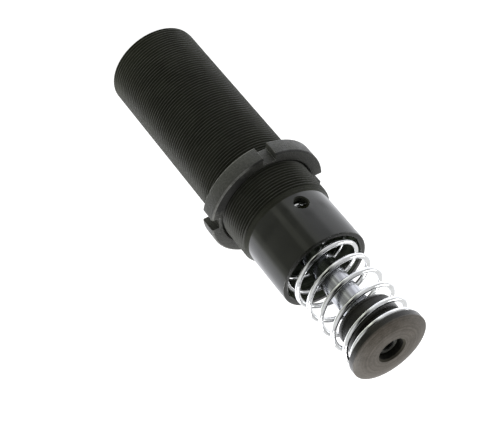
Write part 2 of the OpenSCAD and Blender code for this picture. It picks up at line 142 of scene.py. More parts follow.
# Button and its screw. The spring ends at the button's rear face, and the screw's head stands on the washer.
BUTTON_REAR_Z = SPRING_TOP_Z
BUTTON_TOP_Z = heights("rod_button")[1]
RECESS_R = 6.85
SCREW_END_Z, SCREW_TOP_Z = heights("button_screw")
SCREW_HEAD_Z = heights("screw_washer")[1]
SCREW_R = 3.0
SCREW_PITCH = 1.0
SCREW_HEAD_R = 5.0
SCREW_SOCKET_DEPTH = 3.0
HEX_FLATS = 5.0

# Share of the pitch that one flank of a thread takes, and the flank's angle to the axis in degrees
FLANK_SHARE = 0.354
FLANK_ANGLE = 60

# In metres: points nearer than WELD are merged, and points nearer than ON_CUT to a cut lie on it
WELD = MM / 500
ON_CUT = 1e-7


# Bench tools

def clear_bench():
    """Leaves edit mode and deselects everything."""
    if bpy.context.object and bpy.context.object.mode != "OBJECT":
        bpy.ops.object.mode_set(mode="OBJECT")
    bpy.ops.object.select_all(action="DESELECT")


def take(piece):
    """Makes one piece the selected and active one."""
    clear_bench()
    piece.select_set(True)
    bpy.context.view_layer.objects.active = piece


def pick(piece, kind, rule):
    """Enters edit mode with only the points or faces selected that a rule names."""
    take(piece)
    bpy.ops.object.mode_set(mode="EDIT")
    bpy.ops.mesh.select_mode(type="FACE" if kind == "faces" else "VERT")
    bpy.ops.mesh.select_all(action="DESELECT")
    bpy.ops.object.mode_set(mode="OBJECT")
    for part in piece.data.polygons if kind == "faces" else piece.data.vertices:
        part.select = rule(part)
    bpy.ops.object.mode_set(mode="EDIT")


def scribe(name, outline):
    """A chain of edges through (radius, height) points, on the XZ plane."""
    clear_bench()
    start = Vector((outline[0][0] * MM, 0, outline[0][1] * MM))
    bpy.ops.mesh.primitive_plane_add(size=MM, location=start)
    piece = bpy.context.object
    piece.name = piece.data.name = name
    bpy.ops.object.mode_set(mode="EDIT")
    bpy.ops.mesh.select_mode(type="VERT")
    bpy.ops.mesh.merge(type="CENTER")
    here = start
    for r, z in outline[1:]:
        there = Vector((r * MM, 0, z * MM))
        bpy.ops.mesh.extrude_vertices_move(TRANSFORM_OT_translate={"value": there - here})
        here = there
    bpy.ops.object.mode_set(mode="OBJECT")
    bpy.ops.object.transform_apply(location=True)
    return piece


def weld():
    """In edit mode: merges what lies on one point."""
    bpy.ops.mesh.select_all(action="SELECT")
    bpy.ops.mesh.remove_doubles(threshold=WELD)


def weld_and_face_out():
    """In edit mode: merges what lies on one point and turns the faces outwards."""
    weld()
    bpy.ops.mesh.normals_make_consistent(inside=False)


def turn(name, outline, steps=144):
    """A solid of revolution about Z from a closed outline of (radius, height) points."""
    piece = scribe(name, outline + outline[:1])
    take(piece)
    bpy.ops.object.mode_set(mode="EDIT")
    bpy.ops.mesh.select_all(action="SELECT")
    bpy.ops.mesh.spin(steps=steps, angle=2 * math.pi, center=(0, 0, 0), axis=(0, 0, 1))
    weld_and_face_out()
    bpy.ops.object.mode_set(mode="OBJECT")
    return piece


def wind(piece, turns, rise, steps):
    """Winds a section round Z with a Screw modifier."""
    take(piece)
    screw = piece.modifiers.new("wind", "SCREW")
    screw.axis = "Z"
    screw.angle = 2 * math.pi
    screw.screw_offset = rise * MM
    screw.iterations = turns
    screw.steps = screw.render_steps = steps
    bpy.ops.object.modifier_apply(modifier=screw.name)


def trim(z, above):
    """In edit mode: cuts the mesh at a height, drops one side and closes the cut."""
    bpy.ops.mesh.select_all(action="SELECT")
    bpy.ops.mesh.bisect(plane_co=(0, 0, z * MM), plane_no=(0, 0, 1), use_fill=True,
                        clear_outer=above, clear_inner=not above, threshold=ON_CUT)


def combine(piece, tool, operation):
    """Applies a boolean of two closed solids and removes the tool."""
    take(piece)
    cut = piece.modifiers.new("cut", "BOOLEAN")
    cut.operation = operation
    cut.solver = "MANIFOLD"
    cut.object = tool
    bpy.ops.object.modifier_apply(modifier=cut.name)
    bpy.data.objects.remove(tool)


def break_edges(piece, width):
    """Rounds the sharp edges of a piece."""
    take(piece)
    round_off = piece.modifiers.new("break_edges", "BEVEL")
    round_off.limit_method = "ANGLE"
    round_off.angle_limit = math.radians(32)
    round_off.width = width * MM
    round_off.segments = 2
    bpy.ops.object.modifier_apply(modifier=round_off.name)


def fit(piece, body, node, smooth_angle):
    """Sets a finished piece in the model, in place of its CAD node."""
    take(piece)
    bpy.ops.object.shade_smooth_by_angle(angle=math.radians(smooth_angle))
    piece.data.materials.clear()
    if body:
        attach(piece, body)
    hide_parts(node)


def thread_depth(pitch):
    """Depth of a thread from its crest to its root."""
    return FLANK_SHARE * pitch * math.tan(math.radians(FLANK_ANGLE))


def threaded_bar(name, crest_r, pitch, low, high, steps):
    """A bar with a right-hand thread, closed at both ends. Its crests are an eighth of the pitch wide.

    The winding starts some turns before the lower cut, and ends past the upper one.
    """
    turns_before, spare_turns = 2.3, 5
    flank, crest_w = FLANK_SHARE * pitch, pitch / 8
    root_r = crest_r - thread_depth(pitch)
    start = low - turns_before * pitch
    bar = scribe(name, [
        (root_r, start),
        (crest_r, start + flank),
        (crest_r, start + flank + crest_w),
        (root_r, start + 2 * flank + crest_w),
        (root_r, start + pitch),
    ])
    wind(bar, math.ceil((high - low) / pitch) + spare_turns, pitch, steps)
    bpy.ops.object.mode_set(mode="EDIT")
    weld()
    trim(low, False)
    trim(high, True)
    weld_and_face_out()
    bpy.ops.object.mode_set(mode="OBJECT")
    return bar


# Body

def body_blank():
    """A threaded bar with a plain end where the collar is turned. It stands past the body at both ends."""
    past = 0.8
    bar = threaded_bar("threaded_body", THREAD_R, THREAD_PITCH, -past, COLLAR_Z - past, steps=144)
    top = max(bar.data.polygons, key=lambda face: face.center.z).index
    pick(bar, "faces", lambda face: face.index == top)
    plain_end = MOUTH_Z - COLLAR_Z + 3 * past
    bpy.ops.mesh.extrude_region_move(TRANSFORM_OT_translate={"value": (0, 0, plain_end * MM)})
    weld_and_face_out()
    bpy.ops.object.mode_set(mode="OBJECT")
    return bar


def body_outline():
    """The turned outline of the body, from the filler plug's hole round to the tube's seat."""
    lip_round = 0.3 * LIP_BEVEL
    groove_top_z = CLIP_GROOVE_Z + CLIP_GROOVE_H
    return [
        (PLUG_HOLE_R, TUBE_SEAT_Z),
        (PLUG_HOLE_R, PLUG_POCKET_DEPTH),
        (PLUG_POCKET_R, PLUG_POCKET_DEPTH),
        (PLUG_POCKET_R, PLUG_POCKET_BREAK),
        (PLUG_POCKET_R + PLUG_POCKET_BREAK, 0),
        (THREAD_R - REAR_CHAMFER, 0),
        (THREAD_R, REAR_CHAMFER),
        (THREAD_R, RUNOUT_Z),
        (COLLAR_R, COLLAR_Z),
        (COLLAR_R, MOUTH_Z - LIP_BEVEL),
        (COLLAR_R - lip_round, MOUTH_Z - lip_round),
        (COLLAR_R - LIP_BEVEL, MOUTH_Z),
        (BORE_R + MOUTH_BEVEL, MOUTH_Z),
        (BORE_R, MOUTH_Z - MOUTH_BEVEL),
        (BORE_R, groove_top_z),
        (CLIP_GROOVE_R, groove_top_z),
        (CLIP_GROOVE_R, CLIP_GROOVE_Z),
        (BORE_R, CLIP_GROOVE_Z),
        (BORE_R, BORE_FLOOR_Z),
        (TUBE_SEAT_R, BORE_FLOOR_Z),
        (TUBE_SEAT_R, TUBE_SEAT_Z),
    ]


def vent_tap():
    """The tap for the vent hole, with a cone that breaks the hole's outer edge.

    The collar curves away by collar_dip at the hole's side, so the cone starts that much deeper.
    """
    drill_start, drill_past = 10, 3
    thread_start, thread_past = 12, 1
    collar_dip, thread_overlap = 0.25, 0.02
    drill = turn("vent_drill", [
        (0, drill_start),
        (VENT_R, drill_start),
        (VENT_R, COLLAR_R - VENT_BREAK - collar_dip),
        (VENT_R + VENT_BREAK + drill_past, COLLAR_R + drill_past),
        (0, COLLAR_R + drill_past),
    ], steps=48)
    crest_r = VENT_R + thread_depth(VENT_PITCH) - thread_overlap
    thread = threaded_bar("vent_thread", crest_r, VENT_PITCH, thread_start, COLLAR_R + thread_past, steps=48)
    combine(drill, thread, "UNION")
    drill.rotation_euler = (math.pi / 2, 0, 0)
    drill.location = (0, 0, VENT_Z * MM)
    bpy.context.view_layer.update()
    return drill


body = body_blank()
combine(body, turn("body_outline", body_outline()), "INTERSECT")
combine(body, vent_tap(), "DIFFERENCE")
fit(body, "housing", "outer_body", smooth_angle=28)


# Lock ring

def slotted_ring():
    """The round ring with its spanner slots, broken edges and threaded bore."""
    ring = turn("slotted_ring", [
        (RING_BORE_R + RING_LEAD, RING_Z),
        (RING_R - RING_BEVEL, RING_Z),
        (RING_R, RING_Z + RING_BEVEL),
        (RING_R, RING_TOP_Z - RING_BEVEL),
        (RING_R - RING_BEVEL, RING_TOP_Z),
        (RING_BORE_R + RING_LEAD, RING_TOP_Z),
        (RING_BORE_R, RING_TOP_Z - RING_LEAD),
        (RING_BORE_R, RING_Z + RING_LEAD),
    ])
    past, tap_past = 2, 1
    length = SLOT_DEPTH + past
    middle = Vector((RING_R + past - length / 2, 0, RING_MIDDLE_Z)) * MM
    for k in range(SLOTS):
        at = math.radians(RING_TURN + 360 * k / SLOTS)
        clear_bench()
        bpy.ops.mesh.primitive_cube_add(size=MM, location=Matrix.Rotation(at, 3, "Z") @ middle,
                                        rotation=(0, 0, at), scale=(length, SLOT_W, RING_H + past))
        combine(ring, bpy.context.object, "DIFFERENCE")
    break_edges(ring, RING_EDGE)
    tap = threaded_bar("ring_tap", RING_BORE_R + RING_THREAD_DEPTH, THREAD_PITCH,
                       RING_Z - tap_past, RING_TOP_Z + tap_past, steps=144)
    combine(ring, tap, "DIFFERENCE")
    return ring


ring = slotted_ring()
fit(ring, "lock_ring", "lock_ring", smooth_angle=30)


# Screw and plug

# Both shanks reach into their heads, and their threaded bars stand past the outlines that they are cut to
INTO_HEAD = 0.3
PAST_SHOULDER = 0.2
PAST_TIP = 0.3


def cut_socket(piece, face_z, depth, way):
    """Cuts a hexagon socket with an entry bevel and a drilled bottom. way is 1 where it opens upwards."""
    past, entry_depth, entry_bevel, inside_flats = 1, 0.4, 0.3, 0.05
    corner_r = HEX_FLATS / 2 / math.cos(math.radians(30))
    entry_r = corner_r + entry_bevel
    drilled_r = HEX_FLATS / 2 - inside_flats
    tip_depth = 0.6 * drilled_r
    clear_bench()
    bpy.ops.mesh.primitive_cylinder_add(vertices=6, radius=corner_r * MM, depth=(depth + past) * MM,
                                        location=(0, 0, (face_z + way * (past - depth) / 2) * MM),
                                        rotation=(0, 0, math.radians(30)))
    combine(piece, bpy.context.object, "DIFFERENCE")
    combine(piece, turn("socket_drill", [
        (0, face_z - way * (depth + tip_depth)),
        (drilled_r, face_z - way * depth),
        (drilled_r, face_z - way * (entry_depth + entry_r - drilled_r)),
        (entry_r, face_z - way * entry_depth),
        (entry_r, face_z + way * past),
        (0, face_z + way * past),
    ], steps=48), "DIFFERENCE")


def knurled_head():
    """The screw's head, with every second edge of a cylinder drawn in."""
    ridges, drawn_in = 36, 0.968
    edge_round, edge_bevel = (0.2, 0.25), 0.6
    clear_bench()
    bpy.ops.mesh.primitive_cylinder_add(vertices=2 * ridges, radius=SCREW_HEAD_R * MM,
                                        depth=(SCREW_TOP_Z - SCREW_HEAD_Z) * MM,
                                        location=(0, 0, (SCREW_HEAD_Z + SCREW_TOP_Z) / 2 * MM))
    head = bpy.context.object
    head.name = head.data.name = "socket_screw"
    bpy.ops.object.transform_apply(location=True)
    step = math.pi / ridges
    pick(head, "points", lambda v: round(math.atan2(v.co.y, v.co.x) / step) % 2 == 0)
    bpy.ops.transform.resize(value=(drawn_in, drawn_in, 1), center_override=(0, 0, 0))
    bpy.ops.object.mode_set(mode="OBJECT")
    combine(head, turn("head_outline", [
        (0, SCREW_HEAD_Z),
        (SCREW_HEAD_R, SCREW_HEAD_Z),
        (SCREW_HEAD_R, SCREW_TOP_Z - edge_bevel),
        (SCREW_HEAD_R - edge_round[0], SCREW_TOP_Z - edge_round[1]),
        (SCREW_HEAD_R - edge_bevel, SCREW_TOP_Z),
        (0, SCREW_TOP_Z),
    ]), "INTERSECT")
    return head


def socket_screw():
    """The button's screw: knurled head with a socket, and a threaded shank."""
    point = 0.7
    screw = knurled_head()
    joined_z = SCREW_HEAD_Z + INTO_HEAD
    shank = threaded_bar("screw_shank", SCREW_R, SCREW_PITCH,
                         SCREW_END_Z - PAST_TIP, joined_z + PAST_SHOULDER, steps=48)
    combine(shank, turn("shank_outline", [
        (0, SCREW_END_Z),
        (SCREW_R - point, SCREW_END_Z),
        (SCREW_R, SCREW_END_Z + point),
        (SCREW_R, joined_z),
        (0, joined_z),
    ], steps=48), "INTERSECT")
    combine(screw, shank, "UNION")
    cut_socket(screw, SCREW_TOP_Z, SCREW_SOCKET_DEPTH, 1)
    return screw


def filler_plug():
    """The plug in the rear face, with its flat head, its socket and its thread."""
    chamfer, edge, point = 0.3, 0.1, 0.6
    plug = turn("filler_plug", [
        (0, PLUG_FACE_Z),
        (PLUG_HEAD_R - chamfer, PLUG_FACE_Z),
        (PLUG_HEAD_R, PLUG_FACE_Z + chamfer),
        (PLUG_HEAD_R, PLUG_SHOULDER_Z - edge),
        (PLUG_HEAD_R - edge, PLUG_SHOULDER_Z),
        (0, PLUG_SHOULDER_Z),
    ])
    joined_z = PLUG_SHOULDER_Z - INTO_HEAD
    shank = threaded_bar("plug_shank", PLUG_R, PLUG_PITCH,
                         joined_z - PAST_SHOULDER, PLUG_END_Z + PAST_TIP, steps=60)
    combine(shank, turn("plug_outline", [
        (0, joined_z),
        (PLUG_R, joined_z),
        (PLUG_R, PLUG_END_Z - point),
        (PLUG_R - point, PLUG_END_Z),
        (0, PLUG_END_Z),
    ], steps=60), "INTERSECT")
    combine(plug, shank, "UNION")
    cut_socket(plug, PLUG_FACE_Z, PLUG_SOCKET_DEPTH, -1)
    return plug


screw = socket_screw()
fit(screw, "rod", "button_screw", smooth_angle=30)
plug = filler_plug()
fit(plug, "housing", "fill_plug", smooth_angle=30)


# Spring

def coil_rise(t, pitch):
    """Height of the wire's centre after t turns from a closed end."""
    if t < CLOSED_TURNS:
        return 2 * WIRE_R * t
    opened = min(t - CLOSED_TURNS, OPENING_TURNS)
    rise = 2 * WIRE_R * t + (pitch - 2 * WIRE_R) * opened ** 2 / (2 * OPENING_TURNS)
    return rise + (pitch - 2 * WIRE_R) * max(0, t - CLOSED_TURNS - OPENING_TURNS)


def coil_height(t):
    """Height of the wire's centre above its start, t turns along the spring at rest."""
    height = SPRING_LEN - 2 * (WIRE_R - GROUND_OFF)
    pitch = 2 * WIRE_R + (height - 2 * WIRE_R * TURNS) / (TURNS - 2 * CLOSED_TURNS - OPENING_TURNS)
    if 2 * t < TURNS:
        return coil_rise(t, pitch)
    return height - coil_rise(TURNS - t, pitch)


def close_wire_end(spring, end):
    """Fills the section at one end of the wire."""
    pick(spring, "points", lambda v: spring.data.attributes["turn_no"].data[v.index].value == end)
    bpy.ops.mesh.edge_face_add()
    bpy.ops.object.mode_set(mode="OBJECT")


def wound_spring():
    """The return spring at rest, with ground ends.

    Each point keeps its turn number, and its place on the wire: across, up and along.
    It is wound at any even pitch first, and then each section gets its own height.
    """
    around, per_turn, first_pitch = 14, 72, 10
    clear_bench()
    bpy.ops.mesh.primitive_circle_add(vertices=around, radius=WIRE_R * MM, fill_type="NGON",
                                      location=(COIL_R * MM, 0, 0),
                                      rotation=(math.pi / 2, 0, 0))
    spring = bpy.context.object
    spring.name = spring.data.name = "coil_spring"
    bpy.ops.object.transform_apply(location=True, rotation=True)
    section = [v.co.copy() for v in spring.data.vertices]
    bpy.ops.object.mode_set(mode="EDIT")
    bpy.ops.mesh.delete(type="ONLY_FACE")
    bpy.ops.object.mode_set(mode="OBJECT")
    wind(spring, TURNS, first_pitch, per_turn)
    turn_no = spring.data.attributes.new("turn_no", "FLOAT", "POINT")
    on_wire = spring.data.attributes.new("on_wire", "FLOAT_VECTOR", "POINT")
    low = SPRING_Z + WIRE_R - GROUND_OFF
    for i, v in enumerate(spring.data.vertices):
        t = (i // around) / per_turn
        place = section[i % around]
        v.co.z = (low + coil_height(t)) * MM + place.z
        turn_no.data[i].value = t
        along = 2 * math.pi * COIL_R * MM * t
        on_wire.data[i].vector = (place.x - COIL_R * MM, place.z, along)
    close_wire_end(spring, 0)
    close_wire_end(spring, TURNS)
    bpy.ops.object.mode_set(mode="EDIT")
    weld_and_face_out()
    trim(SPRING_Z, False)
    trim(SPRING_TOP_Z, True)
    weld_and_face_out()
    bpy.ops.object.mode_set(mode="OBJECT")
    return spring


def keep_wire_round(spring):
    """Moves each section of the wire as one when the spring closes, so that the wire stays round."""
    closed_height = SPRING_LEN - STROKE - 2 * (WIRE_R - GROUND_OFF)
    turn_no = spring.data.attributes["turn_no"].data
    share = spring.data.attributes["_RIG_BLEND"].data
    for i in range(len(share)):
        t = min(max(turn_no[i].value, 0), TURNS)
        closing = coil_height(t) - closed_height * t / TURNS
        share[i].value = min(max(closing / STROKE, 0), 1)


spring = wound_spring()
fit(spring, None, "return_spring", smooth_angle=40)
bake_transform(spring, "housing", "rod", start=(0, 0, SPRING_Z * MM), end=(0, 0, SPRING_TOP_Z * MM))
keep_wire_round(spring)


# Shader groups

def put(tree, kind, inputs, **settings):
    """Adds one node. inputs maps a socket's name or number to a value or to the socket that feeds it."""
    node = tree.nodes.new(kind)
    for key, value in settings.items():
        setattr(node, key, value)
    for key, value in inputs.items():
        if isinstance(value, bpy.types.NodeSocket):
            tree.links.new(value, node.inputs[key])
        else:
            node.inputs[key].default_value = value
    return node


def reckon(tree, operation, a, b=0.0, c=0.0):
    """One sum on one or more numbers or sockets."""
    return put(tree, "ShaderNodeMath", {0: a, 1: b, 2: c}, operation=operation).outputs[0]


def step_up(tree, value, low, high, to_low=0.0, to_high=1.0):
    """A smooth step of a value between two limits."""
    return put(tree, "ShaderNodeMapRange",
               {"Value": value, "From Min": low, "From Max": high, "To Min": to_low, "To Max": to_high},
               interpolation_type="SMOOTHSTEP").outputs["Result"]


def ramp(tree, size, start, full):
    """A smooth step of a distance, between two sizes in millimetres."""
    return step_up(tree, size, start * MM, full * MM)


def own_place(tree):
    """The shaded point, in the piece's own frame."""
    return put(tree, "ShaderNodeTexCoord", {}).outputs["Object"]


def reach(tree, place, way):
    """How far a point lies in a direction."""
    return put(tree, "ShaderNodeVectorMath", {0: place, 1: way}, operation="DOT_PRODUCT").outputs["Value"]


def stretch(tree, place, scales):
    """A point with each of its axes scaled."""
    return put(tree, "ShaderNodeVectorMath", {0: place, 1: scales}, operation="MULTIPLY").outputs["Vector"]


def noise(tree, place, scale, detail, roughness=0.5):
    """Soft noise in space, from 0 to 1."""
    return put(tree, "ShaderNodeTexNoise",
               {"Vector": place, "Scale": scale, "Detail": detail, "Roughness": roughness}).outputs["Fac"]


def axis_distance(tree):
    """The distance from the object's axis and the height along it."""
    x, y, z = put(tree, "ShaderNodeSeparateXYZ", {0: own_place(tree)}).outputs
    square = reckon(tree, "MULTIPLY_ADD", x, x, reckon(tree, "MULTIPLY", y, y))
    return reckon(tree, "SQRT", square), z


def new_group(name, takes, gives):
    """A shader group with named number inputs and outputs."""
    tree = bpy.data.node_groups.new(name, "ShaderNodeTree")
    for label, value in takes.items():
        socket = tree.interface.new_socket(name=label, in_out="INPUT", socket_type="NodeSocketFloat")
        socket.default_value = value
    for label, kind in gives.items():
        tree.interface.new_socket(name=label, in_out="OUTPUT", socket_type="NodeSocket" + kind)
    return tree, tree.nodes.new("NodeGroupInput").outputs, tree.nodes.new("NodeGroupOutput").inputs


def place_group(tree, group, inputs):
    """Puts a shader group in a material and gives back its outputs."""
    return put(tree, "ShaderNodeGroup", inputs, node_tree=group).outputs


def lathe_marks_group():
    """Fine lines round the axis, as a turning tool leaves them on flat and on round faces."""
    tree, given, wanted = new_group("lathe_marks", {"Spacing": 0.4 * MM, "Wander": 0.4}, {"Lines": "Float"})
    r, z = axis_distance(tree)
    passes = reckon(tree, "DIVIDE", reckon(tree, "ADD", r, z), given["Spacing"])
    drift = noise(tree, own_place(tree), 160.0, 1.0)
    passes = reckon(tree, "MULTIPLY_ADD", drift, given["Wander"], passes)
    lines = put(tree, "ShaderNodeTexNoise", {"W": passes, "Scale": 1.0, "Detail": 2.0, "Roughness": 0.6},
                noise_dimensions="1D")
    tree.links.new(step_up(tree, lines.outputs["Fac"], 0.25, 0.75), wanted["Lines"])
    return tree


def mottle_group():
    """Slow clouds and fine specks over a surface."""
    tree, given, wanted = new_group("mottle", {"Cloud Size": 10 * MM, "Speck Size": 0.5 * MM},
                                    {"Clouds": "Float", "Specks": "Float"})
    for size, result, detail in (("Cloud Size", "Clouds", 3.0), ("Speck Size", "Specks", 2.0)):
        spots = noise(tree, own_place(tree), reckon(tree, "DIVIDE", 1.0, given[size]), detail, 0.6)
        tree.links.new(step_up(tree, spots, 0.3, 0.7), wanted[result])
    return tree


def rubbed_edges_group():
    """Where edges are rubbed bare, and the shading normal of the rounded edge."""
    tree, given, wanted = new_group("rubbed_edges", {"Edge Width": 0.3 * MM, "Patch Size": 2 * MM},
                                    {"Rub": "Float", "Rounded": "Vector"})
    rounded = put(tree, "ShaderNodeBevel", {"Radius": given["Edge Width"]}, samples=4).outputs["Normal"]
    flat = put(tree, "ShaderNodeNewGeometry", {}).outputs["Normal"]
    edge = step_up(tree, reckon(tree, "SUBTRACT", 1.0, reach(tree, rounded, flat)), 0.01, 0.16)
    patches = noise(tree, own_place(tree), reckon(tree, "DIVIDE", 1.0, given["Patch Size"]), 3.0)
    rub = reckon(tree, "MULTIPLY", edge, step_up(tree, patches, 0.3, 0.65, 0.35, 1.0))
    tree.links.new(rub, wanted["Rub"])
    tree.links.new(rounded, wanted["Rounded"])
    return tree


def crest_rub_group():
    """Thread crests rubbed bright in patches."""
    tree, given, wanted = new_group("crest_rub", {"Crest Radius": THREAD_R * MM, "Depth": 0.2 * MM},
                                    {"Rub": "Float"})
    r, _ = axis_distance(tree)
    low = reckon(tree, "SUBTRACT", given["Crest Radius"], given["Depth"])
    crest = step_up(tree, r, low, given["Crest Radius"])
    patches = step_up(tree, noise(tree, own_place(tree), 220.0, 3.0), 0.3, 0.7, 0.45, 1.0)
    tree.links.new(reckon(tree, "MULTIPLY", crest, patches), wanted["Rub"])
    return tree


LATHE_MARKS = lathe_marks_group()
MOTTLE = mottle_group()
RUBBED_EDGES = rubbed_edges_group()
CREST_RUB = crest_rub_group()


# Finishes

def mix_colour(tree, share, a, b):
    """A colour between two colours."""
    mix = tree.nodes.new("ShaderNodeMix")
    mix.data_type = "RGBA"
    for name, value in (("Factor_Float", share), ("A_Color", a), ("B_Color", b)):
        socket = next(s for s in mix.inputs if s.identifier == name)
        if isinstance(value, bpy.types.NodeSocket):
            tree.links.new(value, socket)
        else:
            socket.default_value = (*value, 1) if name != "Factor_Float" else value
    return next(s for s in mix.outputs if s.identifier == "Result_Color")


def nodes_of(material):
    """The node tree of a finish and the shader in it."""
    return material.node_tree, material.node_tree.nodes["Principled BSDF"]


def feed(tree, shader, name, socket):
    """Links a socket to one of the shader's inputs."""
    tree.links.new(socket, shader.inputs[name])


def fed(shader, name):
    """The socket that feeds one of the shader's inputs."""
    return shader.inputs[name].links[0].from_socket


def roughen(tree, shader, share, amount):
    """Adds an amount of roughness to a share of the surface."""
    feed(tree, shader, "Roughness", reckon(tree, "MULTIPLY_ADD", share, amount, fed(shader, "Roughness")))


def finish(name, dark, light, roughness, metallic=0.0, spread=0.06,
           clouds=8.0, specks=0.5, speck_share=0.3, grit_depth=0.0,
           lines=0.4, line_depth=0.0, line_rough=0.0,
           edge=0.25, rub=0.0, crest=0.0, crest_r=THREAD_R, bare=(0.3, 0.3, 0.3),
           ior=1.5, specular=0.5, brushed=0.0):
    """One procedural finish of mottled colour, turning lines, fine grit and rubbed edges.

    Sizes and depths are millimetres. rub and crest say how bright the worn edges and thread crests are.
    """
    material = bpy.data.materials.new(name)
    material.use_nodes = True
    tree, shader = nodes_of(material)
    shader.inputs["IOR"].default_value = ior
    shader.inputs["Specular IOR Level"].default_value = specular
    shader.inputs["Anisotropic"].default_value = brushed
    shader.inputs["Anisotropic Rotation"].default_value = 0.25
    shader.inputs["Metallic"].default_value = metallic
    mottle = place_group(tree, MOTTLE, {"Cloud Size": clouds * MM, "Speck Size": specks * MM})
    marks = place_group(tree, LATHE_MARKS, {"Spacing": lines * MM})
    edges = place_group(tree, RUBBED_EDGES, {"Edge Width": edge * MM})
    share = reckon(tree, "MULTIPLY_ADD", mottle["Specks"], speck_share,
                   reckon(tree, "MULTIPLY", mottle["Clouds"], 1 - speck_share))
    worn = reckon(tree, "MULTIPLY", edges["Rub"], rub)
    if crest:
        crests = place_group(tree, CREST_RUB, {"Crest Radius": crest_r * MM})
        worn = reckon(tree, "MAXIMUM", worn, reckon(tree, "MULTIPLY", crests["Rub"], crest))
    feed(tree, shader, "Base Color", mix_colour(tree, worn, mix_colour(tree, share, dark, light), bare))
    rough = reckon(tree, "MULTIPLY_ADD", mottle["Clouds"], spread, roughness - spread / 2)
    feed(tree, shader, "Roughness", reckon(tree, "MULTIPLY_ADD", marks["Lines"], line_rough, rough))
    height = reckon(tree, "MULTIPLY_ADD", marks["Lines"], line_depth * MM,
                    reckon(tree, "MULTIPLY", mottle["Specks"], grit_depth * MM))
    bump = put(tree, "ShaderNodeBump", {"Height": height, "Distance": 1.0, "Normal": edges["Rounded"]})
    feed(tree, shader, "Normal", bump.outputs["Normal"])
    return material


def coat(node, material):
    """Gives a CAD node one finish."""
    piece = frame["nodes"][node]
    piece.data.materials.clear()
    piece.data.materials.append(material)


def add_finishes(piece, *materials):
    """Appends finishes to a new piece's slots."""
    for material in materials:
        piece.data.materials.append(material)


# The body's finishes, in the order in which they are added
THREAD, COLLAR, MOUTH, BORE = range(4)


def body_zone(face):
    """Which of the body's finishes a face gets. The vent hole's thread gets the outer thread's.

    The small numbers are tolerances, because the middle of a face lies a little off its surface.
    """
    place = face.center / MM
    r = math.hypot(place.x, place.y)
    from_vent = math.hypot(place.x, place.z - VENT_Z)
    on_bore = r < BORE_R + 0.02
    in_clip_groove = r < CLIP_GROOVE_R + 0.15 and place.z < COLLAR_Z
    in_vent = from_vent <= VENT_R + 0.8 and r <= COLLAR_R - 0.2 and place.y <= 0
    if place.z > MOUTH_Z - 0.05:
        return MOUTH
    if place.z > BORE_FLOOR_Z - 0.1 and (on_bore or in_clip_groove):
        return BORE
    if place.z > COLLAR_Z - 0.05 and not in_vent:
        return COLLAR
    return THREAD


def thread_finish():
    """Greenish black oxide with rubbed crests."""
    return finish("thread_oxide", (0.021, 0.022, 0.015), (0.038, 0.040, 0.028), 0.45, clouds=14, specks=0.6,
                  grit_depth=0.006, crest=0.32, bare=(0.16, 0.16, 0.15), rub=0.3, specular=0.15)


def collar_finish():
    """Polished black oxide."""
    return finish("collar_polish", (0.004, 0.005, 0.002), (0.011, 0.012, 0.008), 0.13, spread=0.05,
                  clouds=7, lines=0.5, line_depth=0.0002, line_rough=0.02, rub=0.2, bare=(0.2, 0.2, 0.2))


def mouth_finish():
    """The mouth's turned face."""
    return finish("mouth_satin", (0.014, 0.014, 0.012), (0.026, 0.026, 0.023), 0.24, lines=0.3,
                  line_depth=0.0008, line_rough=0.06, rub=0.3, bare=(0.2, 0.2, 0.2), specular=0.4)


def bore_finish():
    """The bored inside, with a greenish oil film."""
    return finish("bore_oxide", (0.058, 0.068, 0.046), (0.108, 0.124, 0.088), 0.26, lines=0.6,
                  line_depth=0.0006, line_rough=0.06, clouds=6)


add_finishes(body, thread_finish(), collar_finish(), mouth_finish(), bore_finish())
for face in body.data.polygons:
    face.material_index = body_zone(face)


# Side of the ring towards the light: the ring's bevels are painted bright as a highlight, and on the far
# side from this one the front bevel is painted as a dark line of shade
RING_LIT_SIDE = (0.8616, 0.5075, 0.0)
# Bearings between which the body's shadow is painted on the ring's front face, with a soft edge at either
# end
RING_SHADOW_BEARINGS = tuple(math.radians(bearing) for bearing in (-60, -48, -14, -4))


def ring_bevel_highlight_and_shade(tree, r, z, place, patches):
    """Shares of the ring's bevels that are painted bright as a highlight, and that are painted as a dark
    line of shade on the shaded side's front bevel.
    """
    from_middle = reckon(tree, "ABSOLUTE", reckon(tree, "SUBTRACT", z, RING_MIDDLE_Z * MM))
    bevel_at = RING_R + RING_H / 2 - RING_BEVEL
    bevel = ramp(tree, reckon(tree, "ADD", r, from_middle), bevel_at - 0.35, bevel_at - 0.05)
    front = ramp(tree, z, RING_TOP_Z - 1.2, RING_TOP_Z - 0.8)
    side = reach(tree, place, RING_LIT_SIDE)
    shaded_front = reckon(tree, "MULTIPLY", front, ramp(tree, side, -1, -7))
    # rubbed is the bevels' painted highlight, broken into patches
    rubbed = reckon(tree, "MULTIPLY", bevel, reckon(tree, "MULTIPLY_ADD", patches, 0.7, 0.2))
    rubbed = reckon(tree, "MULTIPLY", rubbed, reckon(tree, "SUBTRACT", 1.0, shaded_front))
    return rubbed, reckon(tree, "MULTIPLY", shaded_front, bevel)


def ring_painted_shadow(tree, r, z, place, patches):
    """Share of the ring's front face that is painted dark as the shadow that the body casts on it."""
    x, y, _ = put(tree, "ShaderNodeSeparateXYZ", {0: place}).outputs
    bearing = reckon(tree, "MULTIPLY_ADD", patches, 0.12, reckon(tree, "ARCTAN2", y, x))
    start, start_full, end_full, end = RING_SHADOW_BEARINGS
    # stain is the sector of the painted shadow
    stain = reckon(tree, "MULTIPLY", step_up(tree, bearing, start, start_full),
                   step_up(tree, bearing, end, end_full))
    flat_r = RING_R - RING_BEVEL
    flat = reckon(tree, "MULTIPLY", ramp(tree, z, RING_TOP_Z - 0.3, RING_TOP_Z - 0.1),
                  ramp(tree, r, flat_r + 0.05, flat_r - 0.25))
    return reckon(tree, "MULTIPLY", stain, flat)


